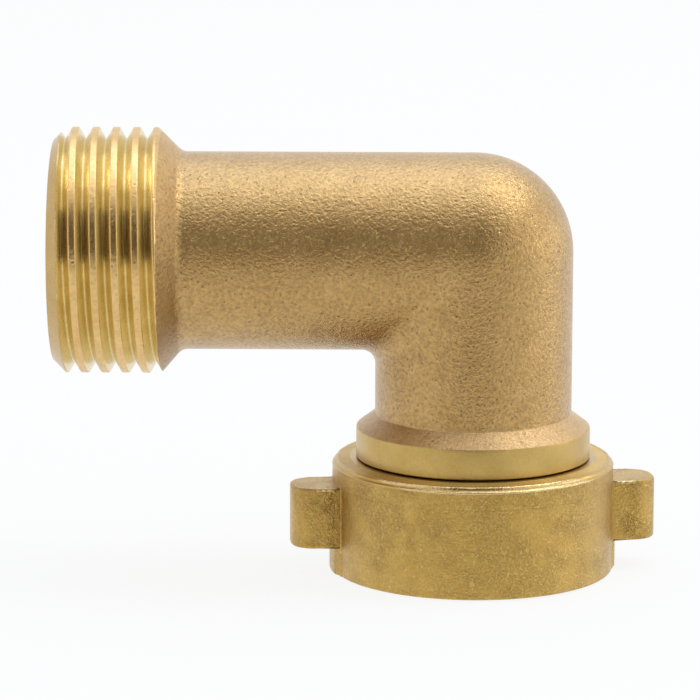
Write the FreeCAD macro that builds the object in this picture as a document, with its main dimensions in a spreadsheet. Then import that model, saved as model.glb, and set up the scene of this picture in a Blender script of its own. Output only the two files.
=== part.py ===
# Brass garden hose elbow: a forged 90 degree elbow with a male hose thread at one end and, captured
# on its tail at the other, a swivel nut with two lugs and a female hose thread that holds a washer.
# Frame: millimetres, +Z up along the swivel axis, origin at the centre of the nut's mouth, and the
# male arm points along -X.
import FreeCAD, Part
import math
import os
import re
import Sketcher

doc = FreeCAD.newDocument("hose_elbow")
sheet = doc.addObject("Spreadsheet::Sheet", "Sizes")

# Driving dimensions: name, value in millimetres (degrees for turns and angles), what it measures.
SIZES = [
    ("tube_dia", 21.4, "outside of the forged tube, in the arm and in the leg"),
    ("outlet_bore_dia", 17.8, "waterway through the arm, drilled from the male end"),
    ("tail_bore_dia", 16.2, "waterway through the leg, drilled from the tail"),
    ("arm_height", 35.0, "arm axis above the mouth of the nut"),
    ("arm_length", 45.45, "leg axis to the end face of the male thread"),
    ("inner_corner_radius", 1.6, "blend on the inside corner of the bend"),
    ("drill_overrun", 2.0, "how far each drilled bore passes the other's axis"),
    ("drill_point_angle", 59.0, "half the angle of the drill's point"),
    ("outlet_dia", 26.6, "over the crests of the male thread"),
    ("thread_pitch", 2.2087, "25.4 / 11.5, the hose thread's pitch"),
    ("crest_flat", 0.7, "width of the male thread's crest"),
    ("flank_angle", 30.0, "each thread flank from the plane across the axis"),
    ("thread_length", 11.62, "end face to the start of the flare"),
    ("thread_lead", 0.96, "the groove's start ahead of the end face"),
    ("groove_overrun", 0.15, "how far the groove's middle runs past the start of the flare"),
    ("flare_length", 2.23, "cone from the thread down to the tube"),
    ("end_chamfer", 1.34, "chamfer on the thread's first crest"),
    ("mouth_chamfer", 0.9, "chamfer of the bore at the male end"),
    ("band_dia", 25.5, "turned band above the nut"),
    ("band_width", 3.25, "height of the turned band"),
    ("cone_height", 1.5, "cone from the band up to the leg"),
    ("neck_dia", 20.6, "tail that the nut turns on"),
    ("lip_dia", 23.6, "flared end that keeps the nut on"),
    ("lip_thickness", 1.2, "height of the flared end"),
    ("tail_flare", 1.0, "how much the flaring opened the tail's mouth, on the radius"),
    ("nut_dia", 30.6, "forged body of the nut"),
    ("nut_height", 12.2, "mouth to top face of the nut"),
    ("nut_turn", 8.0, "turn of the lugs about the swivel axis"),
    ("web_thickness", 2.2, "end wall of the nut around the neck"),
    ("neck_clearance", 0.2, "between the neck and the nut, on the radius"),
    ("swivel_gap", 0.3, "between the nut's web and the band above it or the lip below it"),
    ("nut_chamfer", 0.5, "chamfer on the nut's top edge"),
    ("lug_span", 40.1, "over the tips of both lugs"),
    ("lug_thickness", 6.2, "lug across its flat sides"),
    ("lug_base", 3.1, "mouth to the underside of the lugs"),
    ("lug_height", 6.65, "height of the lugs"),
    ("lug_corner_radius", 2.5, "upright corners of the lugs"),
    ("turned_top_step", 0.05, "how far the turned-off lug bar stands out above the lugs"),
    ("turned_mouth_step", 0.35, "how far the turned-off lug bar stands out below the lugs"),
    ("inlet_bore_dia", 24.6, "the nut's bore, at the crests of its fine female thread"),
    ("inlet_chamfer", 1.2, "chamfer at the mouth of the nut"),
    ("nut_wall", 1.55, "wall of the nut around the washer chamber"),
    ("washer_clearance", 1.05, "between the washer and the chamber's wall, on the radius"),
    ("washer_bore", 16.0, "hole in the washer"),
    ("washer_thickness", 3.2, "thickness of the washer"),
    ("washer_gap", 0.2, "between the washer and the lip above it"),
]

for row, (name, size, note) in enumerate(SIZES, 1):
    sheet.set("A%d" % row, name)
    sheet.set("B%d" % row, repr(size))
    sheet.set("C%d" % row, note)
    sheet.setAlias("B%d" % row, name)
doc.recompute()
NAMES = {name for name, size, note in SIZES}

# Heights and radii that several outlines share, as expressions of the driving dimensions.
WEB_UNDER = "nut_height - web_thickness"
LIP_TOP = "nut_height - web_thickness - swivel_gap"
LIP_UNDER = LIP_TOP + " - lip_thickness"
BAND_UNDER = "nut_height + swivel_gap"
BAND_TOP = BAND_UNDER + " + band_width"
WASHER_TOP = LIP_UNDER + " - washer_gap"
WASHER_SEAT = WASHER_TOP + " - washer_thickness"
CHAMBER_RADIUS = "nut_dia / 2 - nut_wall"
WASHER_RADIUS = CHAMBER_RADIUS + " - washer_clearance"
GROOVE_DEPTH = "(thread_pitch - crest_flat) / 2 / tan(flank_angle)"


def bound(text):
    # The same expression with each size's name pointing to its cell.
    return re.sub(r"[a-z_]+", lambda m: "Sizes." + m[0] if m[0] in NAMES else m[0], text)


def value(text):
    return float(sheet.evalExpression(bound(text)))


def bind(thing, path, text):
    thing.setExpression(path, bound(text))


def plane(body, role):
    return next(f for f in body.Origin.OriginFeatures if f.Role == role)


def new_body(label):
    body = doc.addObject("PartDesign::Body", label)
    body.Label = label
    return body


def fix(sketch, kind, corner, text):
    # Hold one coordinate of a corner at an expression of the sizes.
    axis = {"DistanceX": -2, "DistanceY": -1}[kind]
    if text == "0":
        sketch.addConstraint(Sketcher.Constraint("PointOnObject", corner, 1, axis))
        return
    ends = (-1, 1, corner, 1)
    if text.startswith("-("):
        ends = (corner, 1, -1, 1)
        text = text[1:]
    number = sketch.addConstraint(Sketcher.Constraint(kind, *ends, value(text)))
    name = "%s%d" % (kind[-1].lower(), corner)
    sketch.renameConstraint(number, name)
    bind(sketch, "Constraints." + name, text)


def outline(body, name, role, corners, arcs=(), lift=None):
    # A closed outline through corners given as pairs of expressions. A line between two corners
    # with the same expression is held level or upright, and other corners get a dimension.
    # arcs gives the radius of each side that is round, and lift raises the sketch's own origin.
    sketch = body.newObject("Sketcher::SketchObject", name)
    sketch.AttachmentSupport = (plane(body, role), [""])
    sketch.MapMode = "FlatFace"
    if lift:
        bind(sketch, "AttachmentOffset.Base.y", lift)
    arcs = dict(arcs)
    points = [FreeCAD.Vector(value(x), value(y), 0) for x, y in corners]
    count = len(points)
    for i, start in enumerate(points):
        end = points[(i + 1) % count]
        if i in arcs:
            chord = end - start
            side = FreeCAD.Vector(chord.y, -chord.x, 0).normalize()
            radius = value(arcs[i])
            bulge = radius - math.sqrt(radius**2 - (chord.Length / 2) ** 2)
            sketch.addGeometry(Part.Arc(start, (start + end) / 2 + side * bulge, end), False)
        else:
            sketch.addGeometry(Part.LineSegment(start, end), False)
    for i in range(count):
        sketch.addConstraint(Sketcher.Constraint("Coincident", i, 2, (i + 1) % count, 1))
    for i, (x, y) in enumerate(corners):
        level = i > 0 and i - 1 not in arcs and corners[i - 1][1] == y and y != "0"
        upright = i > 0 and i - 1 not in arcs and corners[i - 1][0] == x and x != "0"
        if upright:
            sketch.addConstraint(Sketcher.Constraint("Vertical", i - 1))
        else:
            fix(sketch, "DistanceX", i, x)
        if level:
            sketch.addConstraint(Sketcher.Constraint("Horizontal", i - 1))
        else:
            fix(sketch, "DistanceY", i, y)
    for i, radius in arcs.items():
        number = sketch.addConstraint(Sketcher.Constraint("Radius", i, value(radius)))
        sketch.renameConstraint(number, "radius%d" % i)
        bind(sketch, "Constraints.radius%d" % i, radius)
    return sketch


def feature(body, kind, name, **settings):
    # A feature at the end of the body; Refine stays off, so the forging's parting line is kept.
    made = body.newObject("PartDesign::" + kind, name)
    for key, setting in settings.items():
        setattr(made, key, setting)
    made.Refine = False
    body.Tip = made
    return made


def spin(body, kind, name, sketch, axis, turn=360, back=False):
    # Turned stock or a turned cut about one axis of its sketch.
    made = feature(body, kind, name, Profile=sketch, ReferenceAxis=(sketch, [axis]), Angle=turn)
    made.Reversed = back
    return made


def blend(body, name, base, edges, radius):
    doc.recompute()
    found = ["Edge%d" % i for i, edge in enumerate(base.Shape.Edges, 1) if edges(edge)]
    made = feature(body, "Fillet", name, Base=(base, found))
    bind(made, "Radius", radius)
    return made


def mirror(body, name, last, about):
    # The whole body so far and its image, in the plane given as an object and a name on it.
    doc.recompute()
    return feature(body, "Mirrored", name, Originals=[last], TransformMode="Whole shape",
                   MirrorPlane=about)


def thread_cut(body, name, sketch, axis, height):
    # A right-hand single-start groove that follows a helix from the sketched section.
    made = feature(body, "SubtractiveHelix", name, Profile=sketch, ReferenceAxis=(sketch, [axis]),
                   Mode="pitch-height-angle", LeftHanded=False)
    bind(made, "Pitch", "thread_pitch")
    bind(made, "Height", height)
    return made


def near(point, x, y, z):
    return point.distanceToPoint(FreeCAD.Vector(x, y, z)) < 0.01


def make_elbow():
    body = new_body("elbow_body")
    tube = value("tube_dia / 2")

    arm = outline(body, "arm_section", "XZ_Plane", [
        ("-(arm_length)", "0"),
        ("-(arm_length)", "outlet_dia / 2 - end_chamfer"),
        ("-(arm_length - end_chamfer)", "outlet_dia / 2"),
        ("-(arm_length - thread_length)", "outlet_dia / 2"),
        ("-(arm_length - thread_length - flare_length)", "tube_dia / 2"),
        ("0", "tube_dia / 2"),
        ("0", "0"),
    ], lift="arm_height")
    quarter = spin(body, "Revolution", "arm", arm, "H_Axis", 90)
    mirror(body, "arm_half", quarter, (arm, ["H_Axis"]))

    # The leg runs up into a ball that rounds the outer corner of the bend.
    leg = outline(body, "leg_section", "XZ_Plane", [
        ("0", LIP_UNDER),
        ("lip_dia / 2", LIP_UNDER),
        ("lip_dia / 2", LIP_TOP),
        ("neck_dia / 2", LIP_TOP),
        ("neck_dia / 2", BAND_UNDER),
        ("band_dia / 2", BAND_UNDER),
        ("band_dia / 2", BAND_TOP),
        ("tube_dia / 2", BAND_TOP + " + cone_height"),
        ("tube_dia / 2", "arm_height"),
        ("0", "arm_height + tube_dia / 2"),
    ], arcs={8: "tube_dia / 2"})
    elbow = spin(body, "Revolution", "leg_and_ball", leg, "V_Axis", 180, back=True)

    corner = FreeCAD.Vector(-tube, 0, value("arm_height") - tube)
    blend(body, "inner_corner", elbow, lambda edge: any(
        near(v.Point, *corner) for v in edge.Vertexes) and edge.BoundBox.YLength > tube / 2,
        "inner_corner_radius")

    # Both bores are drilled from their ends and meet inside the bend.
    arm_bore = outline(body, "arm_bore_section", "XZ_Plane", [
        ("-(arm_length)", "0"),
        ("-(arm_length)", "outlet_bore_dia / 2 + mouth_chamfer"),
        ("-(arm_length - mouth_chamfer)", "outlet_bore_dia / 2"),
        ("drill_overrun", "outlet_bore_dia / 2"),
        ("drill_overrun + outlet_bore_dia / 2 / tan(drill_point_angle)", "0"),
    ], lift="arm_height")
    spin(body, "Groove", "arm_bore", arm_bore, "H_Axis")
    leg_bore = outline(body, "leg_bore_section", "XZ_Plane", [
        ("0", LIP_UNDER),
        ("tail_bore_dia / 2 + tail_flare", LIP_UNDER),
        ("tail_bore_dia / 2", LIP_TOP),
        ("tail_bore_dia / 2", "arm_height + drill_overrun"),
        ("0", "arm_height + drill_overrun + tail_bore_dia / 2 / tan(drill_point_angle)"),
    ])
    drilled = spin(body, "Groove", "leg_bore", leg_bore, "V_Axis")
    mirror(body, "whole_forging", drilled, (plane(body, "XZ_Plane"), [""]))

    # The vee groove starts ahead of the end face and dies out where the flare begins.
    start = "arm_length + thread_lead"
    half = "((thread_pitch - crest_flat) / 2 + crest_flat * tan(flank_angle))"
    groove = outline(body, "outlet_groove_section", "XZ_Plane", [
        ("-(%s)" % start, "outlet_dia / 2 - " + GROOVE_DEPTH),
        ("-(%s - %s)" % (start, half), "outlet_dia / 2 + crest_flat"),
        ("-(%s + %s)" % (start, half), "outlet_dia / 2 + crest_flat"),
    ], lift="arm_height")
    thread_cut(body, "outlet_thread", groove, "H_Axis", "thread_lead + thread_length + groove_overrun")
    return body


def make_nut():
    body = new_body("swivel_nut")
    disc = outline(body, "disc_section", "XZ_Plane", [
        ("0", "0"),
        ("nut_dia / 2", "0"),
        ("nut_dia / 2", "nut_height"),
        ("0", "nut_height"),
    ])
    spin(body, "Revolution", "disc", disc, "V_Axis")

    # The lugs start as one full-height bar with ends concentric with the nut.
    tip = "sqrt((lug_span / 2) ^ 2 - (lug_thickness / 2) ^ 2)"
    bar = outline(body, "lug_bar_outline", "XY_Plane", [
        (tip, "-(lug_thickness / 2)"),
        (tip, "lug_thickness / 2"),
        ("-(%s)" % tip, "lug_thickness / 2"),
        ("-(%s)" % tip, "-(lug_thickness / 2)"),
    ], arcs={0: "lug_span / 2", 2: "lug_span / 2"})
    pad = feature(body, "Pad", "lug_bar", Profile=bar)
    bind(pad, "Length", "nut_height")
    reach = value(tip)
    blend(body, "lug_corners", pad, lambda edge: edge.BoundBox.ZLength > 1 and near(
        FreeCAD.Vector(abs(edge.CenterOfMass.x), abs(edge.CenterOfMass.y), 0),
        reach, value("lug_thickness / 2"), 0), "lug_corner_radius")

    # Turning leaves the lugs, a top chamfer, and a low step where the bar was cut away.
    lug_top = "lug_base + lug_height"
    above = outline(body, "turned_top_section", "XZ_Plane", [
        ("lug_span", lug_top),
        ("nut_dia / 2 + turned_top_step", lug_top),
        ("nut_dia / 2 + turned_top_step", "nut_height - nut_chamfer"),
        ("nut_dia / 2 - nut_chamfer", "nut_height"),
        ("lug_span", "nut_height"),
    ])
    spin(body, "Groove", "turned_top", above, "V_Axis")
    below = outline(body, "turned_mouth_section", "XZ_Plane", [
        ("lug_span", "0"),
        ("nut_dia / 2 + turned_mouth_step", "0"),
        ("nut_dia / 2 + turned_mouth_step", "lug_base"),
        ("lug_span", "lug_base"),
    ])
    spin(body, "Groove", "turned_mouth", below, "V_Axis")

    inside = outline(body, "inside_section", "XZ_Plane", [
        ("0", "0"),
        ("inlet_bore_dia / 2 + inlet_chamfer", "0"),
        ("inlet_bore_dia / 2", "inlet_chamfer"),
        ("inlet_bore_dia / 2", WASHER_SEAT),
        (CHAMBER_RADIUS, WASHER_SEAT),
        (CHAMBER_RADIUS, WEB_UNDER),
        ("neck_dia / 2 + neck_clearance", WEB_UNDER),
        ("neck_dia / 2 + neck_clearance", "nut_height"),
        ("0", "nut_height"),
    ])
    hollow = spin(body, "Groove", "inside", inside, "V_Axis")
    hollow.Refine = True  # the mouth is one flat face, turned in one cut
    body.Placement = FreeCAD.Placement(FreeCAD.Vector(), FreeCAD.Rotation(FreeCAD.Vector(0, 0, 1), 1))
    bind(body, "Placement.Rotation.Angle", "nut_turn")
    return body


def make_washer():
    body = new_body("hose_washer")
    ring = outline(body, "ring_section", "XZ_Plane", [
        ("washer_bore / 2", WASHER_SEAT),
        (WASHER_RADIUS, WASHER_SEAT),
        (WASHER_RADIUS, WASHER_TOP),
        ("washer_bore / 2", WASHER_TOP),
    ])
    spin(body, "Revolution", "ring", ring, "V_Axis")
    return body


parts = [make_elbow(), make_nut(), make_washer()]
doc.recompute()

for item in doc.Objects:
    if "Invalid" in item.State or "Error" in item.State:
        raise RuntimeError("%s failed: %s" % (item.Name, item.State))
for part in parts:
    if part.Shape.isNull() or not part.Shape.isValid() or len(part.Shape.Solids) != 1:
        raise RuntimeError(part.Label + " is not one sound solid")

os.makedirs("parts", exist_ok=True)
for part in parts:
    part.Shape.exportStep("parts/%s.step" % part.Label)
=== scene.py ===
import bpy
import bmesh
import numpy as np
from math import atan2, cos, pi, radians, sin, sqrt, tan
from mathutils import Matrix, Vector


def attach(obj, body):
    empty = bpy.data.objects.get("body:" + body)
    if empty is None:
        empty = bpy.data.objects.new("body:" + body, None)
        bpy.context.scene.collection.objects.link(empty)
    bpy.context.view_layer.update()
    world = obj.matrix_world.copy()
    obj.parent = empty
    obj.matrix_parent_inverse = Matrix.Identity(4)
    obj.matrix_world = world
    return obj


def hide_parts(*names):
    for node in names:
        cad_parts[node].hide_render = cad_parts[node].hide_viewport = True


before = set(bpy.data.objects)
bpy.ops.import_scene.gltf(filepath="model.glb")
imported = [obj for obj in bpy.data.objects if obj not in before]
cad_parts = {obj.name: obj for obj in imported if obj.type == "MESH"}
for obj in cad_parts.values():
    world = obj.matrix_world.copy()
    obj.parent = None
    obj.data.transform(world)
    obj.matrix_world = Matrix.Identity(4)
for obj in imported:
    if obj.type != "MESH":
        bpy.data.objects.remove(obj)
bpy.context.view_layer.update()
mm = 0.001  # every shape below is written in millimetres


# camera, fitted to the photo's outline
photoView = {
    "target": (-13.442, 0.0, 24.049),
    "azimuth": 0.699,
    "elevation": 11.202,
    "roll": 0.124,
    "distance": 455.0,
    "lens": 215.18,
    "sensor": 36.0,
    "clip": (0.02, 30.0),  # in metres
}


def makeCamera(s):
    az, el, roll = radians(s["azimuth"]), radians(s["elevation"]), radians(s["roll"])
    back = Vector((sin(az) * cos(el), -cos(az) * cos(el), sin(el)))
    right = (-back).cross(Vector((0, 0, 1))).normalized()
    up = right.cross(-back)
    across = right * cos(roll) + up * sin(roll)
    upward = up * cos(roll) - right * sin(roll)
    data = bpy.data.cameras.new("photoCamera")
    data.lens = s["lens"]
    data.sensor_width = s["sensor"]
    data.sensor_fit = "HORIZONTAL"
    data.clip_start, data.clip_end = s["clip"]
    camera = bpy.data.objects.new("photoCamera", data)
    bpy.context.scene.collection.objects.link(camera)
    place = (Vector(s["target"]) + back * s["distance"]) * mm
    turn = Matrix((across, upward, back)).transposed().to_4x4()
    camera.matrix_world = Matrix.Translation(place) @ turn
    bpy.context.scene.camera = camera


makeCamera(photoView)
print("camera set")


# colours and nodes
firstColour, secondColour, mixedColour = 6, 7, 2  # the sockets of a Mix node that mixes colours


def linear(code):
    # sRGB hex to linear, with full alpha
    parts = [int(code[i:i + 2], 16) / 255 for i in (1, 3, 5)]
    return [c / 12.92 if c <= 0.04045 else ((c + 0.055) / 1.055) ** 2.4 for c in parts] + [1]


def add(tree, kind, inputs=None, out=None, **settings):
    # one shader node with its settings, and a value or a link for each input
    node = tree.nodes.new("ShaderNode" + kind)
    for key, value in settings.items():
        setattr(node, key, value)
    for key, value in (inputs or {}).items():
        if isinstance(value, bpy.types.NodeSocket):
            tree.links.new(value, node.inputs[key])
        else:
            node.inputs[key].default_value = value
    return node if out is None else node.outputs[out]


def perMetre(size):
    # a noise scale that gives features of this size in millimetres
    return 1 / (size * mm)


def newMaterial(name):
    material = bpy.data.materials.new(name)
    material.use_nodes = True
    material.node_tree.nodes.clear()
    return material, material.node_tree


def dieCrinkle(tree, place, mottle, s):
    # the lugs' flat sides kept the die's coarse crinkle, which fades out before the rounded tips
    along = add(tree, "VectorMath", {0: place, 1: s["crinkleAlong"]}, "Value", operation="DOT_PRODUCT")
    along = add(tree, "Math", {0: along}, "Value", operation="ABSOLUTE")
    inner, outer, blend = (v * mm for v in s["crinkleReach"])
    near = add(tree, "MapRange", {"Value": along, "From Min": inner, "From Max": inner + blend}, "Result")
    far = add(tree, "MapRange", {
        "Value": along, "From Min": outer - blend, "From Max": outer, "To Min": 1.0, "To Max": 0.0}, "Result")
    onLugs = add(tree, "Math", {0: near, 1: far}, "Value", operation="MULTIPLY")
    uneven = add(tree, "MapRange", {
        "Value": mottle, "From Min": 0.42, "From Max": 0.58, "To Min": 0.15}, "Result")
    onLugs = add(tree, "Math", {0: onLugs, 1: uneven}, "Value", operation="MULTIPLY")
    # a weaker trace of it lies in patches on the round wall
    wide = add(tree, "TexNoise", {
        "Vector": place, "Scale": perMetre(s["crinklePatch"]), "Detail": 2.0}, "Fac")
    onWall = add(tree, "MapRange", {
        "Value": wide, "From Min": 0.46, "From Max": 0.6, "To Max": s["crinkleBody"]}, "Result")
    patch = add(tree, "Math", {0: onLugs, 1: onWall}, "Value", operation="MAXIMUM")
    folds = add(tree, "TexNoise", {
        "Vector": place, "Scale": perMetre(s["crinkle"]), "Detail": 2.0, "Distortion": 1.6}, "Fac")
    folds = add(tree, "MapRange", {"Value": folds, "From Min": 0.43, "From Max": 0.57}, "Result")
    # the valleys get painted shade in the colour; the ridges are real relief
    shadedValleys = add(tree, "Math", {0: 1.0, 1: folds}, "Value", operation="SUBTRACT")
    shadedValleys = add(tree, "Math", {0: shadedValleys, 1: patch}, "Value", operation="MULTIPLY")
    ridges = add(tree, "Math", {0: folds, 1: patch}, "Value", operation="MULTIPLY")
    return ridges, shadedValleys


def toolMarks(tree, place, s):
    # rings round the axis that the tool worked about: noise of the radius and the way along
    centre, axis = s["marksAxis"]
    moved = add(tree, "VectorMath", {0: place, 1: [-c * mm for c in centre]}, "Vector", operation="ADD")
    parts = add(tree, "SeparateXYZ", {"Vector": moved}).outputs
    first, second = (parts[i] for i in range(3) if i != axis)
    square = add(tree, "Math", {0: first, 1: first}, "Value", operation="MULTIPLY")
    square = add(tree, "Math", {0: second, 1: second, 2: square}, "Value", operation="MULTIPLY_ADD")
    radius = add(tree, "Math", {0: square}, "Value", operation="SQRT")
    around = add(tree, "CombineXYZ", {"X": radius, "Y": parts[axis]}, "Vector")
    return add(tree, "TexNoise", {
        "Vector": around, "Scale": perMetre(s["marks"]), "Detail": 2.0, "Roughness": 0.6}, "Fac")


def brass(name, s):
    # A mottled brass with grain in its height, colour and gloss, and with pits. Painted shade darkens the
    # grain's hollows and the pits, and painted light brightens its tops.
    # Raised flecks with painted glints, the die's crinkle with painted shade in its valleys, and a tool's
    # marks are added where the settings ask for them.
    material, tree = newMaterial(name)
    place = add(tree, "TexCoord", out="Object")
    grain = add(tree, "TexNoise", {
        "Vector": place, "Scale": perMetre(s["grain"]), "Detail": 3.0, "Roughness": 0.62}, "Fac")
    fine = add(tree, "TexNoise", {
        "Vector": place, "Scale": perMetre(s["fine"]), "Detail": 2.0, "Roughness": 0.5}, "Fac")
    mottle = add(tree, "TexNoise", {
        "Vector": place, "Scale": perMetre(s["mottle"]), "Detail": 4.0, "Roughness": 0.55}, "Fac")
    cells = add(tree, "TexVoronoi", {
        "Vector": place, "Scale": perMetre(s["pitSpacing"]), "Randomness": 1.0}, "Distance")
    pits = add(tree, "MapRange", {
        "Value": cells, "From Min": 0.4 * s["pitSize"], "From Max": s["pitSize"],
        "To Min": 1.0, "To Max": 0.0}, "Result")
    relief = [(grain, s["grainHeight"]), (fine, s["fineHeight"]), (pits, -s["pitDepth"])]
    # raised flecks of real relief; their bright colour below is a painted glint
    if s["flecksAndGlints"]:
        flecksAndGlints = add(tree, "TexNoise", {
            "Vector": place, "Scale": perMetre(s["fleckSize"]), "Detail": 1.5, "Distortion": 0.7}, "Fac")
        flecksAndGlints = add(tree, "MapRange", {"Value": flecksAndGlints, "From Min": 0.6, "From Max": 0.7}, "Result")
        relief.append((flecksAndGlints, s["fleckHeight"]))
    if s["crinkle"]:
        ridges, shadedValleys = dieCrinkle(tree, place, mottle, s)
        relief.append((ridges, s["crinkleHeight"]))
    if s["marks"]:
        relief.append((toolMarks(tree, place, s), s["marksHeight"]))
    height = 0.0
    for pattern, rise in relief:
        height = add(tree, "Math", {0: pattern, 1: rise, 2: height}, "Value", operation="MULTIPLY_ADD")
    bump = add(tree, "Bump", {"Height": height, "Strength": 1.0, "Distance": mm}, "Normal")

    tone = add(tree, "MapRange", {"Value": mottle, "From Min": 0.35, "From Max": 0.65}, "Result")
    colour = add(tree, "Mix", {
        "Factor": tone, firstColour: linear(s["colour"]), secondColour: linear(s["patches"])},
        mixedColour, data_type="RGBA")
    # painted shade in the grain's hollows and painted light on its tops, then painted shade in the pits
    shade = add(tree, "MapRange", {
        "Value": grain, "From Min": 0.36, "From Max": 0.64,
        "To Min": s["paintedHollowShade"], "To Max": s["paintedTopLight"]}, "Result")
    shade = add(tree, "MapRange", {"Value": pits, "To Min": shade, "To Max": s["paintedPitShade"]}, "Result")
    colour = add(tree, "VectorMath", {0: colour, "Scale": shade}, "Vector", operation="SCALE")
    # painted shade darkens the crinkle's valleys
    if s["crinkle"]:
        shade = add(tree, "MapRange", {
            "Value": shadedValleys, "To Min": 1.0, "To Max": 1 - s["paintedValleyShade"]}, "Result")
        colour = add(tree, "VectorMath", {0: colour, "Scale": shade}, "Vector", operation="SCALE")
    # painted glint: the flecks' colour is pulled towards a bright brass
    if s["flecksAndGlints"]:
        paintedGlint = add(tree, "Math", {0: flecksAndGlints, 1: s["flecksAndGlints"]}, "Value", operation="MULTIPLY")
        colour = add(tree, "Mix", {
            "Factor": paintedGlint, firstColour: colour, secondColour: linear(s["glintColour"])},
            mixedColour, data_type="RGBA")
    gloss = add(tree, "MapRange", {
        "Value": grain, "From Min": 0.3, "From Max": 0.7,
        "To Min": s["roughness"] + s["glossSpread"], "To Max": s["roughness"] - s["glossSpread"]}, "Result")
    skin = add(tree, "BsdfPrincipled", {
        "Base Color": colour, "Metallic": 1.0, "Roughness": gloss, "Normal": bump,
        "Coat Weight": s["film"], "Coat Roughness": s["filmRoughness"], "Coat Normal": bump}, "BSDF")
    add(tree, "OutputMaterial", {"Surface": skin})
    return material


lugTurn = radians(8)  # how far the nut stands turned on the leg
legAxis, armAxis = ((0, 0, 0), 2), ((0, 0, 35.0), 0)  # a point on each axis, and its direction

# Sizes and heights are in millimetres. The grain's hollows and the pits get painted shade, and its tops
# painted light, by multiplying the colour.
# forged brass, shot blasted: a dry, grainy tan skin with small pits under a thin pale film, darkened in the
# pits and the grain's hollows by painted shade
blastedBrass = {
    "colour": "#BF9A5B", "patches": "#B69152", "mottle": 3.0,
    "roughness": 0.35, "glossSpread": 0.05, "film": 0.9, "filmRoughness": 0.36,
    "grain": 0.38, "grainHeight": 0.12, "fine": 0.16, "fineHeight": 0.035, "paintedHollowShade": 0.8, "paintedTopLight": 1.16,
    "pitSpacing": 0.72, "pitSize": 0.26, "pitDepth": 0.035, "paintedPitShade": 0.68,
    "flecksAndGlints": 0, "crinkle": 0, "marks": 0,
}
# forged brass, tumbled: finer and yellower, with raised flecks that carry painted glints, and a trace of the
# die's crinkle with painted shade in its valleys
tumbledBrass = dict(
    blastedBrass, colour="#C4A04F", patches="#B99548", roughness=0.37, film=0.6, filmRoughness=0.4,
    grain=0.24, grainHeight=0.075, fine=0.11, fineHeight=0.03, paintedHollowShade=0.87, paintedTopLight=1.1,
    pitSpacing=1.5, pitSize=0.06, pitDepth=0.02, paintedPitShade=0.6,
    flecksAndGlints=0.6, fleckSize=0.36, fleckHeight=0.02, glintColour="#DCC07C",
    crinkle=0.5, crinkleHeight=0.1, crinkleBody=0.5, crinklePatch=6.0, paintedValleyShade=0.2,
    crinkleAlong=(cos(lugTurn), sin(lugTurn), 0), crinkleReach=(15.1, 18.6, 0.9))  # from, to, blend
# Turned brass: satin, with fine cutting marks round the axis. Real marks are finer still, and these
# are as coarse as the picture needs to show them.
turnedBrass = dict(
    tumbledBrass, colour="#C6A760", patches="#BC9D55", roughness=0.34, flecksAndGlints=0, crinkle=0,
    grainHeight=0.01, fineHeight=0.006, pitDepth=0.0, paintedPitShade=0.9, paintedHollowShade=0.96, paintedTopLight=1.04,
    marks=0.12, marksHeight=0.006, marksAxis=legAxis)
# the crests keep the forging's skin, pale and pressed nearly smooth
crestBrass = dict(
    blastedBrass, colour="#E6C283", patches="#DAB676", roughness=0.31, film=0.1,
    grainHeight=0.04, fineHeight=0.01, pitDepth=0.02, paintedPitShade=0.85, paintedHollowShade=0.92, paintedTopLight=1.06)
# the grooves between them are cut: pale yellow and shiny, with the finest marks
grooveBrass = dict(
    turnedBrass, colour="#E7D4A1", patches="#DCC891", roughness=0.22, film=0.1,
    grainHeight=0.004, fineHeight=0.002, marks=0.09, marksHeight=0.0025, marksAxis=armAxis)
# the flare was die-formed: drier and finer than the tube, with fewer pits
flareBrass = dict(
    blastedBrass, colour="#C7A264", patches="#BE995A", roughness=0.6, grain=0.34, grainHeight=0.09,
    pitSpacing=0.9, paintedPitShade=0.72, paintedHollowShade=0.86, paintedTopLight=1.14)
# the cone was die-formed too, drier than the tube, and its paler colour is painted light
coneBrassPaintedLight = dict(
    blastedBrass, colour="#CDAA70", patches="#C4A067", roughness=0.56, grain=0.3, grainHeight=0.06,
    pitSpacing=0.9, paintedPitShade=0.8, paintedHollowShade=0.88, paintedTopLight=1.12)
# the male end was faced: a glossier satin than the band's
endBrass = dict(turnedBrass, colour="#C4A56A", patches="#BB9C61", roughness=0.27, marksAxis=armAxis)
# drilled brass: satin, with the drill's coarse rings
drilledBrass = dict(turnedBrass, marks=0.3, marksHeight=0.02, marksAxis=armAxis)
# the nut's turned top face is dull, with a paler colour that is painted light, and the tool left a ragged
# burr on its rim, whose bright colour is a painted highlight
faceBrassPaintedLight = dict(turnedBrass, colour="#D8B868", patches="#CAA95C", roughness=0.58)
burrBrassPaintedHighlight = dict(
    turnedBrass, colour="#E6CB92", patches="#CFB078", roughness=0.26, mottle=0.6,
    grain=0.3, grainHeight=0.05, paintedHollowShade=0.8, paintedTopLight=1.12)

castSkin = brass("forgedBrassShotBlasted", blastedBrass)
crestSkin = brass("forgedBrassCrests", crestBrass)
flareSkin = brass("forgedBrassFlare", flareBrass)
coneSkinPaintedLight = brass("forgedBrassConePaintedLight", coneBrassPaintedLight)
nutSkin = brass("forgedBrassTumbled", tumbledBrass)
turnedSkin = brass("turnedBrassSatin", turnedBrass)
grooveSkin = brass("cutBrassGrooves", grooveBrass)
endSkin = brass("turnedBrassEndFace", endBrass)
faceSkinPaintedLight = brass("turnedBrassDullPaintedLight", faceBrassPaintedLight)
burrSkinPaintedHighlight = brass("turnedBrassBurrPaintedHighlight", burrBrassPaintedHighlight)
boreSkin = brass("drilledBrass", drilledBrass)


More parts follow.
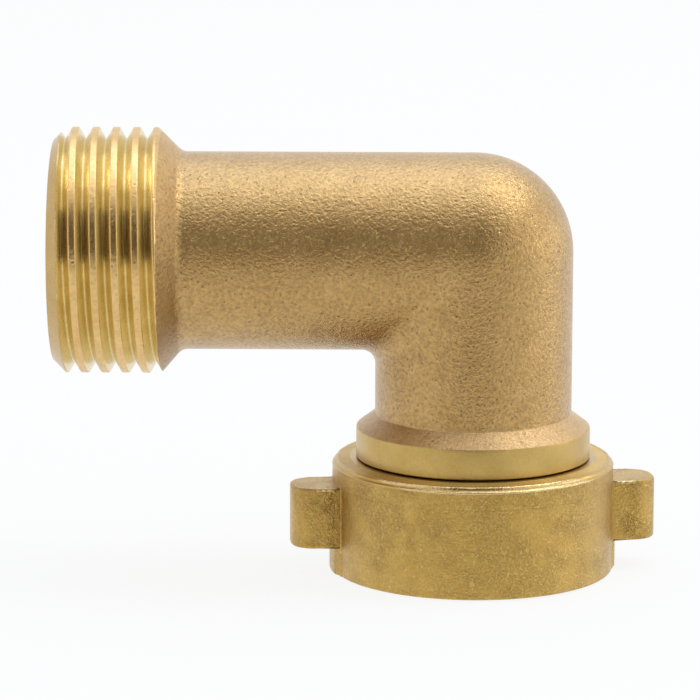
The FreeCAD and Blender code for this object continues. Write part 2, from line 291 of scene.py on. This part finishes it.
# nitrile rubber, punched from sheet: near black and dull, with a dusty bloom and a fine even tooth
punchedRubber = {"colour": "#1E1E1F", "dusty": "#38373A", "tooth": 0.2, "bloom": 2.5, "depth": 0.02}


def rubber(name, s):
    material, tree = newMaterial(name)
    place = add(tree, "TexCoord", out="Object")
    tooth = add(tree, "TexNoise", {"Vector": place, "Scale": perMetre(s["tooth"]), "Detail": 2.0}, "Fac")
    bloom = add(tree, "TexNoise", {"Vector": place, "Scale": perMetre(s["bloom"]), "Detail": 3.0}, "Fac")
    colour = add(tree, "Mix", {
        "Factor": bloom, firstColour: linear(s["colour"]), secondColour: linear(s["dusty"])},
        mixedColour, data_type="RGBA")
    dull = add(tree, "MapRange", {"Value": bloom, "To Min": 0.55, "To Max": 0.75}, "Result")
    bump = add(tree, "Bump", {"Height": tooth, "Strength": 1.0, "Distance": s["depth"] * mm}, "Normal")
    skin = add(tree, "BsdfPrincipled", {"Base Color": colour, "Roughness": dull, "Normal": bump}, "BSDF")
    add(tree, "OutputMaterial", {"Surface": skin})
    return material


washerSkin = rubber("nitrileRubberPunched", punchedRubber)
print("materials made")


# shapes from rings of points
def corner(before, at, after, radius, steps):
    # points that round one corner of a profile, with a guard point close to each end
    a, b, c = (np.array(v, float) for v in (before, at, after))
    u, v = (a - b) / np.linalg.norm(a - b), (c - b) / np.linalg.norm(c - b)
    half = np.arccos(np.clip(u @ v, -1, 1)) / 2
    reach = radius / tan(half)
    centre = b + (u + v) / np.linalg.norm(u + v) * radius / sin(half)
    start, end = b + u * reach, b + v * reach
    guard = min(0.05, 0.4 * reach)
    points = [start + u * guard]
    for i in range(steps + 1):
        chord = start + (end - start) * i / steps - centre
        points.append(centre + chord / np.linalg.norm(chord) * radius)
    return points + [end + v * guard]


def profile(corners, steps=4):
    # (radius, height, rounding) corners of a turned shape to a list of points
    points = []
    for i, (r, h, rounding) in enumerate(corners):
        if rounding and 0 < i < len(corners) - 1:
            points += corner(corners[i - 1][:2], (r, h), corners[i + 1][:2], rounding, steps)
        else:
            points.append(np.array((r, h), float))
    return points


def smooth(share):
    # 0 to 1 with a soft start and a soft end
    return share * share * (3 - 2 * share)


def softMin(a, b, k):
    # the lower of two heights, rounded over k where they cross
    mix = np.clip(0.5 + 0.5 * (b - a) / k, 0, 1)
    return b * (1 - mix) + a * mix - k * mix * (1 - mix)


def waves(at, parts, mean=0.0):
    # a sum of sine waves, each as (how many, shift, height)
    return sum((height * sin(count * at + shift) for count, shift, height in parts), mean)


def helixStarts(halfPitch, pitch, turns):
    # where a thread's rows start, from one groove to the next and on for these turns
    across = np.array(halfPitch)
    once = np.concatenate([across, [pitch / 2], pitch - across[:0:-1]])
    return np.concatenate([k * pitch + once for k in turns])


weldReach, thinEdge = 0.002, 0.0005  # points this close are one, and edges this short go
sharpEdge = radians(50)  # an edge that bends more than this isn't shaded smooth


def sew(name, bands, materials):
    # bands: (grid of points, material index or indices, closed round?) that meet at shared points
    points, faces, slots = [], [], []
    for grid, slot, closed in bands:
        grid = np.asarray(grid, float)
        rows, columns = grid.shape[:2]
        first = len(points)
        points += list(grid.reshape(-1, 3))
        for i in range(rows - 1):
            low, high = first + i * columns, first + (i + 1) * columns
            for j in range(columns if closed else columns - 1):
                k = (j + 1) % columns
                faces.append([low + j, low + k, high + k, high + j])
                slots.append(slot if isinstance(slot, int) else int(slot[i, j]))
    mesh = bpy.data.meshes.new(name)
    mesh.from_pydata([tuple(p * mm) for p in points], [], faces)
    mesh.polygons.foreach_set("material_index", slots)
    work = bmesh.new()
    work.from_mesh(mesh)
    bmesh.ops.remove_doubles(work, verts=work.verts, dist=weldReach * mm)
    bmesh.ops.dissolve_degenerate(work, edges=work.edges, dist=thinEdge * mm)
    bmesh.ops.recalc_face_normals(work, faces=work.faces)
    work.to_mesh(mesh)
    openEdges = sum(1 for e in work.edges if len(e.link_faces) != 2)
    work.free()
    mesh.shade_smooth()
    mesh.set_sharp_from_angle(angle=sharpEdge)
    piece = bpy.data.objects.new(name, mesh)
    bpy.context.scene.collection.objects.link(piece)
    for material in materials:
        mesh.materials.append(material)
    print(name, "has", len(mesh.polygons), "faces and", openEdges, "open edges")
    return piece


# elbow
elbow = {
    "tube": 10.7, "bore": 8.1, "armBore": 8.9, "armHeight": 35.0, "armLength": 45.45, "columns": 256,
    # male thread, with rows from the middle of its groove, closest where it meets the crest
    "crest": 13.3, "pitch": 2.2087, "crestFlat": 0.7, "flank": radians(30), "rootFlat": 0.06,
    "crestRound": 0.13, "lead": 0.96, "endChamfer": 1.34, "overrun": 0.15, "fade": 0.18, "drawOut": 3.0,
    "threadRows": (0, 0.04, 0.1, 0.2, 0.32, 0.44, 0.55, 0.63, 0.69, 0.74, 0.79, 0.85, 0.93, 1.02),
    "crestSkin": 0.12, "endSkin": 0.1,  # how far each skin reaches past its own edge
    # forged flare behind the thread, which starts earlier on top
    "flareStart": -33.83, "flareFoot": -31.6, "flareLean": 0.4, "flareJoin": 1.0, "footBlend": 1.5,
    "flareRows": 4,
    # bend, whose inner corner is rounder beside the middle plane
    "innerBlend": 1.6, "innerSoften": 6.0, "armStart": 0.6, "armSteps": 44, "bendSteps": 28, "legSteps": 26,
    # drilled bores, with their rows along the arm, past its step, over a point and down the leg
    "drillPast": 2.0, "drillPoint": radians(59), "boreStep": -12.0, "stepLength": 1.2,
    "boreRows": (5, 3, 6, 9),
    # cone, turned band, neck and flared lip
    "legFoot": 18.35, "coneTop": 17.25, "coneRound": 0.18, "bandTop": 15.75, "bandFoot": 12.5, "band": 12.75,
    "bandDraft": (0.04, 0.4), "neck": 10.3, "lip": 11.8, "lipTop": 9.7, "lipFoot": 8.5,
    "mouthFlare": 1.0, "mouthChamfer": 0.9, "edgeRound": 0.1, "topRound": 0.12, "rootRound": 0.15,
    "faceRows": (0, 0.02, 0.5, 0.98, 1),
}
castSlot, grooveSlot, turnedSlot, boreSlot, crestSlot, endSlot, flareSlot, paintedLightConeSlot = range(8)
elbowSkins = [castSkin, grooveSkin, turnedSkin, boreSkin, crestSkin, endSkin, flareSkin, coneSkinPaintedLight]


def outletBlank(x, s, top=0.0):
    # the blank under the thread: end chamfer, crest, then the flare
    lead = s["crest"] - (s["endChamfer"] - (x + s["armLength"]))
    start = s["flareStart"] - s["flareLean"] * max(top, 0.0)
    flare = s["crest"] - (x - start) * (s["crest"] - s["tube"]) / (s["flareFoot"] - start)
    return np.minimum(np.minimum(lead, s["crest"]), flare)


def maleThread(s, right):
    # A helical grid whose rows follow the groove, so every crest edge is a clean line. A row that
    # would pass an end stays at it, and the points that then coincide are merged.
    pitch, left = s["pitch"], -s["armLength"]
    groove = left - s["lead"]
    starts = helixStarts(s["threadRows"], pitch, range(-1, int((right - left) / pitch) + 3))
    angles = np.linspace(0, 2 * pi, s["columns"] + 1)
    last = (s["flareStart"] + s["overrun"] - groove) / pitch
    root = s["crest"] - (pitch - s["crestFlat"]) / 2 / tan(s["flank"])
    grid = np.zeros((len(starts), len(angles), 3))
    crests = np.zeros((len(starts), len(angles)), bool)
    for j, angle in enumerate(angles):
        x = np.clip(groove + starts + pitch * angle / (2 * pi), left, right)
        turn = (x - groove) / pitch - angle / (2 * pi)
        nearest = np.round(turn)
        away = np.abs(turn - nearest) * pitch
        cut = np.maximum(root + away / tan(s["flank"]), root + s["rootFlat"])
        # the tool draws out at the end of the thread
        done = np.clip((nearest + angle / (2 * pi) - (last - s["fade"])) / s["fade"], 0, 1)
        cut = cut + smooth(done) * s["drawOut"]
        blank = outletBlank(x, s, cos(angle))
        r = softMin(cut, blank, s["crestRound"])
        crests[:, j] = cut > blank - s["crestSkin"]
        grid[:, j, 0] = x
        grid[:, j, 1] = r * np.cos(angle + pi / 2)
        grid[:, j, 2] = s["armHeight"] + r * np.sin(angle + pi / 2)
    # each face is cut groove, forged crest or flare, or turned end chamfer
    uncut = crests[:-1, :-1] & crests[1:, 1:]
    middle = (grid[:-1, :-1, 0] + grid[1:, 1:, 0]) / 2
    slots = np.where(uncut, crestSlot, grooveSlot)
    slots[uncut & (middle > s["flareStart"])] = flareSlot
    slots[uncut & (middle < left + s["endChamfer"] + s["endSkin"])] = endSlot
    return grid, slots


def bendGrid(s, armStart, away, side):
    # arm, ball bend and leg: in each plane beside the axes, the arm's line turns into the leg's
    armSteps, bendSteps, legSteps = s["armSteps"], s["bendSteps"], s["legSteps"]
    grid = np.zeros((armSteps + bendSteps + legSteps + 1, len(away), 3))
    for j in range(len(away)):
        h, y = s["tube"] * away[j], -s["tube"] * side[j]
        if h >= 0:
            radius, x, z = h, 0.0, s["armHeight"]
        else:
            radius = -away[j] * (s["innerBlend"] + s["innerSoften"] * (1 + away[j]))
            x, z = h - radius, s["armHeight"] + h - radius
        for i in range(armSteps):
            grid[i, j] = (armStart + (x - armStart) * (i / armSteps), y, s["armHeight"] + h)
        for i in range(bendSteps + 1):
            a = pi / 2 * i / bendSteps
            grid[armSteps + i, j] = (x + radius * sin(a), y, z + radius * cos(a))
        for i in range(1, legSteps + 1):
            grid[armSteps + bendSteps + i, j] = (h, y, z + (s["legFoot"] - z) * (i / legSteps))
    return grid


def boreGrid(s, away, side):
    # both bores, drilled past each other's axis with pointed drills; the arm's is the wider one
    bore, height = s["bore"], s["armHeight"]
    past, slope = s["drillPast"], tan(s["drillPoint"])
    start, step = s["mouthChamfer"] - s["armLength"], s["boreStep"]
    stepEnd = step + s["stepLength"]
    armRows, pastRows, pointRows, legRows = s["boreRows"]
    columns = []
    for along, across in zip(away, side):
        h, y = bore * along, -bore * across
        if h <= past:
            meet, stop = h, h
        else:
            # find by halving where the two drills' points meet
            low, high = past, bore
            while high - low > 1e-6:
                mid = (low + high) / 2
                r = bore - (mid - past) * slope
                low, high = (mid, high) if r > abs(y) and sqrt(r * r - y * y) > mid else (low, mid)
            meet, stop = low, past
        wide, wideY = s["armBore"] * along, -s["armBore"] * across
        column = [(start + (step - start) * i / armRows, wideY, height + wide) for i in range(armRows + 1)]
        column += [(stepEnd + (stop - stepEnd) * i / pastRows, y, height + h) for i in range(pastRows + 1)]
        point = []
        for i in range(1, pointRows + 1):
            x = stop + (meet - stop) * i / pointRows
            r = bore - (x - past) * slope
            z = h if h <= past else sqrt(max(r * r - y * y, 0))
            point.append((x, meet if i == pointRows else z))
        column += [(x, y, height + z) for x, z in point]
        column += [(z, y, height + x) for x, z in point[::-1]]
        low = height + stop
        column += [(h, y, low + (s["lipTop"] - low) * i / legRows) for i in range(1, legRows + 1)]
        columns.append(column)
    return np.array(columns).transpose(1, 0, 2)


def elbowShape(s):
    tube, band, columns = s["tube"], s["band"], s["columns"]
    # angle 0 is the top of the arm and the outside of the leg, and it goes round by the front
    turns = np.linspace(0, 2 * pi, columns + 1)[:-1]
    away, side = np.cos(turns), np.sin(turns)

    def onArm(r, x, j):
        return (x, -r * side[j], s["armHeight"] + r * away[j])

    def legRings(points):
        return [[(r * away[j], -r * side[j], z) for j in range(columns)] for r, z in points]

    joinX = s["flareStart"] + s["flareJoin"]
    thread, threadSlots = maleThread(s, joinX)

    # the flare's foot runs into the tube over a cast radius
    feet = []
    for j in range(columns):
        first = (float(outletBlank(joinX, s, away[j])), joinX)
        feet.append([first] + corner(first, (tube, s["flareFoot"]), (tube, 0), s["footBlend"], 8))
    foot = [[onArm(*feet[j][i], j) for j in range(columns)] for i in range(len(feet[0]))]
    footSlots = np.full((len(foot) - 1, columns), castSlot)
    footSlots[:s["flareRows"]] = flareSlot

    armStart = max(points[-1][1] for points in feet) + s["armStart"]
    bend = bendGrid(s, armStart, away, side)
    bores = boreGrid(s, away, side)

    # the turned skin starts within the rounding of the band's top edge
    draftIn, draftDown = s["bandDraft"]
    edge, top, root = s["edgeRound"], s["topRound"], s["rootRound"]
    cone = profile([
        (tube, s["legFoot"], 0), (tube, s["coneTop"], s["coneRound"]), (band - draftIn, s["bandTop"], top),
        (band, s["bandTop"] - draftDown, 0)])
    coneEnd = len(cone) - 4
    mouth = (s["bore"] + s["mouthFlare"], s["lipFoot"])
    tail = profile([
        (band, s["bandTop"] - draftDown, 0), (band, s["bandFoot"], edge), (s["neck"], s["bandFoot"], root),
        (s["neck"], s["lipTop"], edge), (s["lip"], s["lipTop"], top), (s["lip"], s["lipFoot"], root),
        (*mouth, 0)], 3)

    # the end face runs from the bore's chamfer to the first crest, whose height changes round it
    chamfer = np.array([onArm(s["armBore"] + s["mouthChamfer"], -s["armLength"], j) for j in range(columns)])
    endFace = [chamfer + (thread[0, :-1] - chamfer) * f for f in s["faceRows"]]
    return [
        (thread, threadSlots, False),
        (foot, footSlots, True),
        ([foot[-1], bend[0]], castSlot, True),
        (bend, castSlot, True),
        (legRings(cone[:2]), castSlot, True),
        (legRings(cone[1:coneEnd]), paintedLightConeSlot, True),
        (legRings(cone[coneEnd - 1:]), turnedSlot, True),
        (legRings(tail), turnedSlot, True),
        (legRings([mouth]) + [bores[-1]], turnedSlot, True),
        (bores, boreSlot, True),
        ([bores[0], chamfer], endSlot, True),
        (endFace, endSlot, True),
    ]


elbowForging = sew("elbowForging", elbowShape(elbow), elbowSkins)
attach(elbowForging, "elbow")
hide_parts("elbow_body")
print("elbow made")


# swivel nut
nut = {
    "wall": 15.3, "height": 12.2, "chamfer": 0.5, "bodyColumns": 96,
    "mouthEdge": 0.12, "mouthRows": (0.12, 0.2, 1.5),
    # top face: its inner part stands higher, close under the elbow's band
    "rise": 13.4, "lift": 0.16, "hole": 10.5, "webFoot": 10.0,
    # Lugs, and the forged edge round them. The foot's shares are in from the side and up, and the
    # crown's are in from the side, of the burr, and down from the top.
    "lugTip": 20.05, "lugHalf": 3.1, "lugBase": 3.1, "lugTop": 9.75, "lugCorner": 2.5, "lugEdge": 0.26,
    "lugFoot": ((1, 0), (0.617, 0.076), (0.293, 0.293), (0.076, 0.617), (0, 1)),
    "lugCrown": ((0.076, 0.6, 0.617), (0.293, 2.2, 0.293), (0.617, 2.4, 0.05)),
    "crownRise": 0.01, "crownReach": 1.6, "sideRows": (0.06, 2.2),
    "flatSteps": 14, "cornerSteps": 8, "tipSteps": 5,
    # bars that turning left above and below the lugs
    "stripTop": 15.35, "stripMouth": 15.65, "stripSoften": 1.1, "stripDrop": 0.02, "stripRow": 0.8,
    "rimProud": 0.004, "rimFoot": 0.14,
    # a bead of burr beside each lug: (way along the wall, share of its height)
    "bead": ((0.03, 0.45), (0.09, 0.8), (0.18, 1.0), (0.27, 0.85), (0.35, 0.45), (0.42, 0.0)),
    "beadHeight": 0.13, "topBead": 0.3, "beadEnd": 0.65,
    # burr on the rim and on the lugs' top edges, with a painted highlight between two angles of each half
    # turn of the rim
    "rimWobble": 0.022, "rimLift": 0.7, "rimWaves": ((23, 0.3, 0.5), (41, 1.1, 0.3), (67, 2.0, 0.4)),
    "lugBurr": 0.05, "lugMean": 0.7, "lugWaves": ((9, 1, 0.5), (17, 0, 0.4)), "lugBurrStart": 0.3,
    "highlightFrom": 0.9, "highlightTo": 2.45, "highlightSkew": 0.03,
    # inside
    "bore": 12.3, "boreRoot": 13.65, "mouth": 13.5, "mouthChamfer": 1.2, "seat": 5.1, "chamber": 13.75,
    "seatReach": 0.04, "mouthRim": 0.3,
    "pitch": 2.2087, "flank": radians(30), "crestRound": 0.12, "rootFlat": 0.05,
    "threadRows": (0, 0.06, 0.16, 0.3, 0.45, 0.58, 0.68, 0.76, 0.84, 0.95),
}
tumbledSlot, satinSlot, threadSlot, burrHighlightSlot, paintedLightFaceSlot = range(5)
nutSkins = [nutSkin, turnedSkin, grooveSkin, burrSkinPaintedHighlight, faceSkinPaintedLight]


def lugPath(s, half, tip):
    # the lug's outline seen from above, from its front root round the tip to its back root
    x0 = sqrt(s["wall"] ** 2 - half ** 2)
    rc = s["lugCorner"] - (s["lugHalf"] - half)
    cy = half - rc
    cx = sqrt((tip - rc) ** 2 - cy ** 2)
    turn = atan2(cy, cx)
    flat = [0, 0.04] + list(np.linspace(0.12, 1, s["flatSteps"]))
    rounding = np.linspace(-pi / 2, -turn, s["cornerSteps"])[1:]
    front = np.linspace(-turn, 0, s["tipSteps"])[1:]
    points = [(x0 + (cx - x0) * f, -half) for f in flat]
    points += [(cx + rc * cos(a), -cy + rc * sin(a)) for a in rounding]
    points += [(tip * cos(a), tip * sin(a)) for a in front]
    return points + [(x, -y) for x, y in points[-2::-1]]


def stripPath(s, radius):
    # the turned-off bar beside a lug, with the same points in the same order
    half, wall = s["lugHalf"], s["wall"]
    points = []
    for point in lugPath(s, half, s["lugTip"]):
        y = max(-half, min(half, point[1]))
        r = wall + (radius - wall) * smooth(min(1, (half - abs(y)) / s["stripSoften"]))
        points.append((sqrt(r * r - y * y), y))
    root = sqrt(wall ** 2 - half ** 2)
    points[0], points[-1] = (root, -half), (root, half)
    return points


def wholeRing(s, path, bead=0.0):
    # lug path, round wall, opposite lug path, round wall, with a bead of burr on the wall beside
    # each lug, where turning met the forging
    wall = s["wall"]
    root = atan2(s["lugHalf"], sqrt(wall ** 2 - s["lugHalf"] ** 2))
    beside = [(root + d / wall, wall + bead * lift) for d, lift in s["bead"]]
    clear = root + s["beadEnd"] / wall
    arc = [(a, wall) for a in np.linspace(clear, pi - clear, s["bodyColumns"])]
    arc = beside + arc + [(pi - a, r) for a, r in beside[::-1]]
    points = list(path) + [(r * cos(a), r * sin(a)) for a, r in arc]
    return points + [(-x, -y) for x, y in points]


def lugRing(s, inset, burr=0.0):
    # a ring through both lugs, whose burr stands out of the flat sides only and comes and goes
    half = s["lugHalf"] - inset
    path = lugPath(s, half, s["lugTip"] - inset)
    for i, (x, y) in enumerate(path):
        if burr and abs(abs(y) - half) < 1e-6 and x > s["wall"] + s["lugBurrStart"]:
            path[i] = (x, y * (1 + burr / half * waves(x, s["lugWaves"], s["lugMean"])))
    return wholeRing(s, path, s["beadHeight"])


def stood(points):
    # the nut stands turned on the leg
    c, d = cos(lugTurn), sin(lugTurn)
    return [(x * c - y * d, x * d + y * c, z) for x, y, z in points]


def level(ring, z):
    return stood([(x, y, z) for x, y in ring])


def lugGrid(s, mouthStrip, topStrip):
    edge, base, top, burr = s["lugEdge"], s["lugBase"], s["lugTop"], s["lugBurr"]
    guard, inner = s["sideRows"]
    stripFoot = top - s["stripDrop"]
    side = lugRing(s, 0)
    rows = [(mouthStrip, base)]
    rows += [(lugRing(s, edge * inset), base + edge * up) for inset, up in s["lugFoot"]]
    rows += [(side, base + edge + guard), (side, base + inner), (side, top - inner)]
    rows += [(side, top - edge - guard), (side, top - edge)]
    crownFrom = len(rows) - 1
    for inset, share, drop in s["lugCrown"]:
        rows.append((lugRing(s, edge * inset, burr * share), top - edge * drop))
    rows.append((lugRing(s, edge, burr), top + s["crownRise"]))
    crownTo = len(rows) - 1
    rows += [(lugRing(s, edge * s["crownReach"]), stripFoot), (topStrip, stripFoot)]
    # the burr on the lugs' top edges gets a painted highlight along their flat sides
    columns, reach = len(side), len(lugPath(s, s["lugHalf"], s["lugTip"]))
    flats = list(range(2, s["flatSteps"] + 1))
    flats += [reach - 2 - i for i in flats]
    slots = np.full((len(rows) - 1, columns), tumbledSlot)
    slots[crownFrom:crownTo, flats + [columns // 2 + i for i in flats]] = burrHighlightSlot
    return [level(ring, z) for ring, z in rows], slots


def rimGrid(s, edge, angles):
    # The top chamfer was turned with a burr left standing on both of its edges. Each line of the
    # rim has a way in from the wall, a way down from the top and a share of the burr's wobble.
    ch = s["chamfer"]
    lines = [
        (0, ch + 0.16, 0), (-0.04, ch + 0.1, 1), (-0.035, ch + 0.02, 1), (0.03, ch - 0.06, 1),
        (0.12, ch - 0.08, 0.6), (0.2, ch - 0.11, 0), (ch - 0.25, 0.27, 0), (ch - 0.2, 0.12, 0.6),
        (ch - 0.14, 0.01, 1), (ch - 0.05, -0.045, 1), (ch + 0.05, -0.03, 1), (ch + 0.12, 0.02, 0.5),
        (ch + 0.3, 0.02, 0)]
    rows = []
    for inset, drop, share in lines:
        ring = []
        for (x, y), a in zip(edge, angles):
            wobble = s["rimWobble"] * share * waves(a, s["rimWaves"])
            f = (s["wall"] - inset + wobble) / s["wall"]
            ring.append((x * f, y * f, s["height"] - drop + wobble * s["rimLift"]))
        rows.append(stood(ring))
    # the burr gets a painted highlight along part of the rim only, and is satin on the rest
    slots = np.repeat([([burrHighlightSlot] * 5 + [paintedLightFaceSlot]) * 2], len(angles), 0).T
    for i, j in np.argwhere(slots == burrHighlightSlot):
        if not s["highlightFrom"] < (angles[j] + s["highlightSkew"] * i) % pi < s["highlightTo"]:
            slots[i, j] = satinSlot
    return rows, slots


def femaleThread(s, angles):
    # on the same kind of helical grid as the elbow's
    pitch, bore = s["pitch"], s["bore"]
    starts = helixStarts(s["threadRows"], pitch, range(-2, 4))
    looped = list(np.unwrap(angles))
    looped.append(looped[0] + 2 * pi)
    grid = np.zeros((len(starts), len(looped), 3))
    for j, a in enumerate(looped):
        z = np.clip(starts + pitch * (a - looped[0]) / (2 * pi), 0, s["seat"])
        turn = z / pitch - (a - looped[0]) / (2 * pi)
        away = np.abs(turn - np.round(turn)) * pitch
        cut = s["boreRoot"] - away / tan(s["flank"])
        r = np.maximum(-softMin(-cut, np.full_like(cut, -bore), s["crestRound"]), bore)
        lead = s["mouth"] - z * (s["mouth"] - bore) / s["mouthChamfer"]
        r = np.maximum(np.minimum(r, s["boreRoot"] - s["rootFlat"]), lead)
        grid[:, j, 0] = r * np.cos(a + lugTurn)
        grid[:, j, 1] = r * np.sin(a + lugTurn)
        grid[:, j, 2] = z
    return grid


def nutShape(s):
    wall, top, ch, bead = s["wall"], s["height"], s["chamfer"], s["beadHeight"]
    mouthStrip = wholeRing(s, stripPath(s, s["stripMouth"]), bead)
    topStrip = wholeRing(s, stripPath(s, s["stripTop"]), bead * s["topBead"])
    topEdge = wholeRing(s, stripPath(s, wall + s["rimProud"]))
    angles = [atan2(y, x) for x, y in topEdge]
    columns = len(angles)

    def circle(r, z):
        return level([(r * cos(a), r * sin(a)) for a in angles], z)

    share = (wall - s["mouthEdge"]) / wall
    outside = [level([(x * share, y * share) for x, y in mouthStrip], 0)]
    outside += [level(mouthStrip, z) for z in (*s["mouthRows"], s["lugBase"])]
    lugs, lugSlots = lugGrid(s, mouthStrip, topStrip)
    rim, rimSlots = rimGrid(s, topEdge, angles)
    upper = [level(topStrip, s["lugTop"] - s["stripDrop"]), level(topStrip, s["lugTop"] + s["stripRow"])]
    upper.append(level(topEdge, top - ch - s["rimFoot"]))

    # top face, hole, chamber and seat
    raised = top + s["lift"]
    inner = [circle(r, z) for r, z in profile([
        (wall - ch - 0.3, top - 0.02, 0), (s["rise"], raised, 0.3), (s["hole"], raised, 0.1),
        (s["hole"], s["webFoot"], 0.1), (s["chamber"], s["webFoot"], 0.3),
        (s["chamber"], s["seat"], 0.1), (s["bore"] + 0.2, s["seat"], 0)], 3)]
    inner[0], inner[-1] = rim[-1], circle(s["boreRoot"] + s["seatReach"], s["seat"])
    innerSlots = np.full((len(inner) - 1, columns), satinSlot)
    # the top face takes the paler brass, whose colour is painted light
    innerSlots[0] = paintedLightFaceSlot
    thread = femaleThread(s, angles)
    return [
        (outside, tumbledSlot, True),
        (lugs, lugSlots, True),
        (upper, tumbledSlot, True),
        ([upper[-1], rim[0]], tumbledSlot, True),
        (rim, rimSlots, True),
        (inner, innerSlots, True),
        ([inner[-1], thread[-1, :columns]], satinSlot, True),
        (thread, threadSlot, False),
        ([thread[0, :columns], circle(s["mouth"] + s["mouthRim"], 0), outside[0]], satinSlot, True),
    ]


swivelNut = sew("swivelNut", nutShape(nut), nutSkins)
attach(swivelNut, "nut")
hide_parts("swivel_nut")
print("nut made")


# washer
washer = {"outside": 12.7, "hole": 8.0, "foot": 5.1, "top": 8.3, "edge": 0.35, "columns": 128}


def washerShape(s):
    angles = np.linspace(0, 2 * pi, s["columns"] + 1)[:-1]
    middle = (s["foot"] + s["top"]) / 2
    section = profile([
        (s["hole"], middle, 0), (s["hole"], s["foot"], s["edge"]), (s["outside"], s["foot"], s["edge"]),
        (s["outside"], middle, 0), (s["outside"], s["top"], s["edge"]), (s["hole"], s["top"], s["edge"]),
        (s["hole"], middle, 0)], 5)
    return [([[(r * cos(a), r * sin(a), z) for a in angles] for r, z in section], 0, True)]


hoseWasher = sew("hoseWasher", washerShape(washer), [washerSkin])
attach(hoseWasher, "nut")
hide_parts("hose_washer")
print("washer made")


# floor, lamps and the card by the camera, in metres
studio = {
    "floor": "#F4F4F2", "floorSize": 6.0, "floorHeight": -0.0002, "shadowKept": 0.12,
    "world": 0.62,
    "flagTone": "#5B4B37", "flagDistance": 0.75, "flagHalfWidth": 0.45, "flagLow": 0.012, "flagHigh": 0.98,
}
lamps = {
    "overheadBox": {
        "place": (0.0, 0.22, 0.95), "aim": (0, 0.22, 0.03), "size": (0.9, 0.9),
        "power": 3.7, "colour": "#C6D8FF"},
    "cornerLamp": {
        "place": (0.46, 0.09, 0.8), "aim": (0, 0, 0.04), "size": (0.25, 0.25),
        "power": 1.5, "colour": "#FFFFFF"},
    "rightBox": {
        "place": (0.85, 0.12, 0.14), "aim": (0, 0, 0.03), "size": (0.5, 0.22),
        "power": 0.78, "colour": "#FFFFFF"},
}
white = (1, 1, 1, 1)


def seenRays(tree):
    # 1 for rays that show the room: from the camera, in reflections and through clear things
    path = add(tree, "LightPath").outputs
    camera, glossy, clear = (path[key] for key in ("Is Camera Ray", "Is Glossy Ray", "Is Transmission Ray"))
    show = add(tree, "Math", {0: camera, 1: glossy}, "Value", operation="MAXIMUM")
    return add(tree, "Math", {0: show, 1: clear}, "Value", operation="MAXIMUM")


def makeCard(name, corners, material):
    mesh = bpy.data.meshes.new(name)
    mesh.from_pydata(corners, [], [(0, 1, 2, 3)])
    mesh.materials.append(material)
    card = bpy.data.objects.new(name, mesh)
    bpy.context.scene.collection.objects.link(card)
    return card


def makeFloor(s):
    # To the camera and in reflections the painted floor is white, with a share of its own shading
    # kept for the camera, which shows the shadow.
    material, tree = newMaterial("paintedFloorPale")
    place = add(tree, "TexCoord", out="Object")
    soft = add(tree, "TexNoise", {"Vector": place, "Scale": 3.0}, "Fac")
    dull = add(tree, "MapRange", {"Value": soft, "To Min": 0.85, "To Max": 0.95}, "Result")
    paint = add(tree, "BsdfPrincipled", {
        "Base Color": linear(s["floor"]), "Roughness": dull, "Specular IOR Level": 0.0}, "BSDF")
    glow = add(tree, "Emission", {"Color": white, "Strength": 1.0}, "Emission")
    camera = add(tree, "LightPath", out="Is Camera Ray")
    kept = add(tree, "Math", {0: camera, 1: s["shadowKept"]}, "Value", operation="MULTIPLY")
    show = add(tree, "Math", {0: seenRays(tree), 1: kept}, "Value", operation="SUBTRACT")
    mixed = add(tree, "MixShader", {"Fac": show, 1: paint, 2: glow}, "Shader")
    add(tree, "OutputMaterial", {"Surface": mixed})
    w = s["floorSize"] / 2
    floor = makeCard("studioFloor", [(-w, -w, 0), (w, -w, 0), (w, w, 0), (-w, w, 0)], material)
    floor.location.z = s["floorHeight"]


def makeFlag(s):
    # a dark card that only reflections see, as a photographer's flag by the camera
    material, tree = newMaterial("cameraFlag")
    glow = add(tree, "Emission", {"Color": linear(s["flagTone"]), "Strength": 1.0}, "Emission")
    add(tree, "OutputMaterial", {"Surface": glow})
    w, y, low, high = s["flagHalfWidth"], -s["flagDistance"], s["flagLow"], s["flagHigh"]
    flag = makeCard("cameraFlag", [(-w, y, low), (w, y, low), (w, y, high), (-w, y, high)], material)
    flag.visible_camera = False
    flag.visible_diffuse = False
    flag.visible_shadow = False


def makeLamp(name, s):
    data = bpy.data.lights.new(name, "AREA")
    data.shape = "RECTANGLE"
    data.size, data.size_y = s["size"]
    data.energy = s["power"]
    data.color = linear(s["colour"])[:3]
    lamp = bpy.data.objects.new(name, data)
    lamp.location = s["place"]
    lamp.rotation_euler = (Vector(s["aim"]) - Vector(s["place"])).to_track_quat("-Z", "Y").to_euler()
    bpy.context.scene.collection.objects.link(lamp)


def makeWorld(s):
    world = bpy.data.worlds.new("paleRoom")
    bpy.context.scene.world = world
    world.use_nodes = True
    tree = world.node_tree
    tree.nodes.clear()
    light = add(tree, "Background", {"Color": white, "Strength": s["world"]}, "Background")
    seen = add(tree, "Background", {"Color": white, "Strength": 1.0}, "Background")
    mixed = add(tree, "MixShader", {"Fac": seenRays(tree), 1: light, 2: seen}, "Shader")
    add(tree, "OutputWorld", {"Surface": mixed})


makeFloor(studio)
makeFlag(studio)
for name, settings in lamps.items():
    makeLamp(name, settings)
makeWorld(studio)
bpy.context.scene.view_settings.view_transform = "Standard"
print("studio made")
